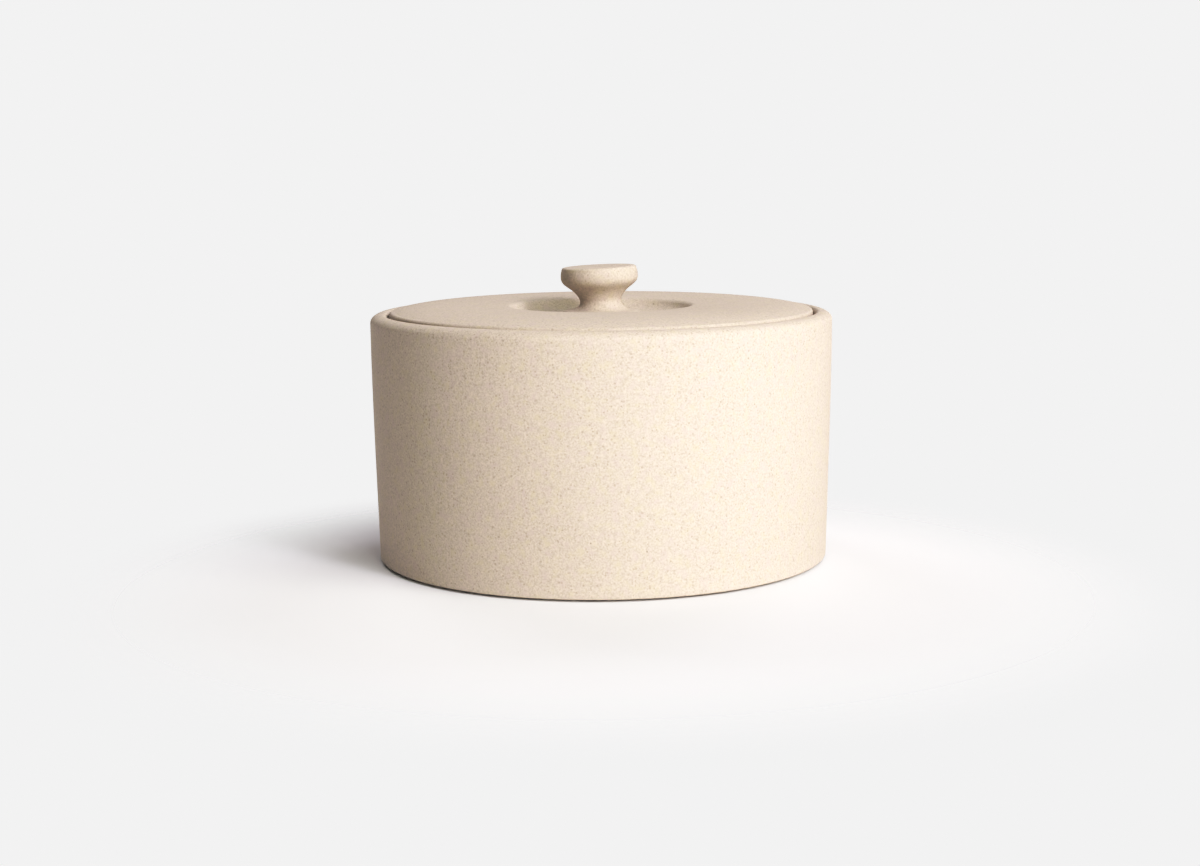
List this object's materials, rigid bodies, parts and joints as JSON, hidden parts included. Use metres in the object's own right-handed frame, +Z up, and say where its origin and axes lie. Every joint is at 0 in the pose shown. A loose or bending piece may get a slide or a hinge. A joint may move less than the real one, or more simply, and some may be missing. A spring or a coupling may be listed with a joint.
{
  "type": "lidded stoneware canister",
  "caption": "Low round stoneware canister with an inset domed lid, a sunken finger well and a small turned knob; holds dry food or sugar.",
  "frame": {"origin": "centre of the foot ring's underside, on the pot's axis, at table level", "axes": "+Z up along the pot's axis; the knob leans slightly towards -X; -Y faces the picture's camera"},
  "size_m": [0.165, 0.165, 0.1048],
  "materials": {
    "stoneware": "matte"
  },
  "bodies": {
    "pot": {"pot": "stoneware"},
    "lid": {"lid": "stoneware", "knob": "stoneware"}
  },
  "joints": [
    {"name": "lid_lift", "type": "slide", "parent": "pot", "child": "lid", "axis": [0, 0, 1], "range_m": [0, 0.12]}
  ]
}
